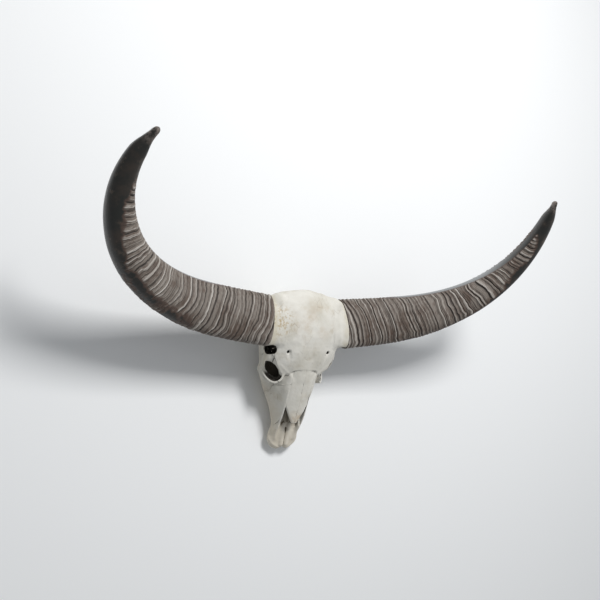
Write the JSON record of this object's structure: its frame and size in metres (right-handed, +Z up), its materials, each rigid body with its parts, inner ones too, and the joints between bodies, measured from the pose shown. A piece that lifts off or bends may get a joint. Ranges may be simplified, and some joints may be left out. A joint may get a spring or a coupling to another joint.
{
  "type": "mounted water-buffalo skull",
  "caption": "Water-buffalo skull with long ridged horns, without its lower jaw, hung face forward on a wall by a folded steel keyhole bracket.",
  "frame": {"origin": "on the wall plane, in the middle of the back face of the bracket's wall flange", "axes": "+X from horn to horn, towards the right of a viewer who faces the skull; +Y into the wall; +Z up, from the muzzle to the crown"},
  "size_m": [1.5364, 0.58, 0.7971],
  "materials": {
    "bone": "dry, sun-bleached bone, rough",
    "core_bone": "porous, honeycombed bone",
    "horn": "weathered keratin, ridged, satin where smooth",
    "enamel": "stained enamel, satin",
    "steel": "zinc-plated strip"
  },
  "bodies": {
    "root": {"frontal_bone": "bone", "hanger_bracket": "steel", "hanger_screw_lower": "steel", "hanger_screw_upper": "steel", "horn_core_left": "core_bone", "horn_core_right": "core_bone", "horn_sheath_left": "horn", "horn_sheath_right": "horn", "lacrimal_bone_left": "bone", "lacrimal_bone_right": "bone", "maxilla_left": "bone", "maxilla_right": "bone", "molar_1_left": "enamel", "molar_1_right": "enamel", "molar_2_left": "enamel", "molar_2_right": "enamel", "molar_3_left": "enamel", "molar_3_right": "enamel", "nasal_bone_left": "bone", "nasal_bone_right": "bone", "nasal_concha_left": "bone", "nasal_concha_right": "bone", "occipital_bone": "bone", "palatine_bone_left": "bone", "palatine_bone_right": "bone", "parietal_bone": "bone", "premaxilla_left": "bone", "premaxilla_right": "bone", "premolar_2_left": "enamel", "premolar_2_right": "enamel", "premolar_3_left": "enamel", "premolar_3_right": "enamel", "premolar_4_left": "enamel", "premolar_4_right": "enamel", "sphenoid_bone": "bone", "temporal_bone_left": "bone", "temporal_bone_right": "bone", "vomer": "bone", "zygomatic_bone_left": "bone", "zygomatic_bone_right": "bone"}
  },
  "joints": []
}
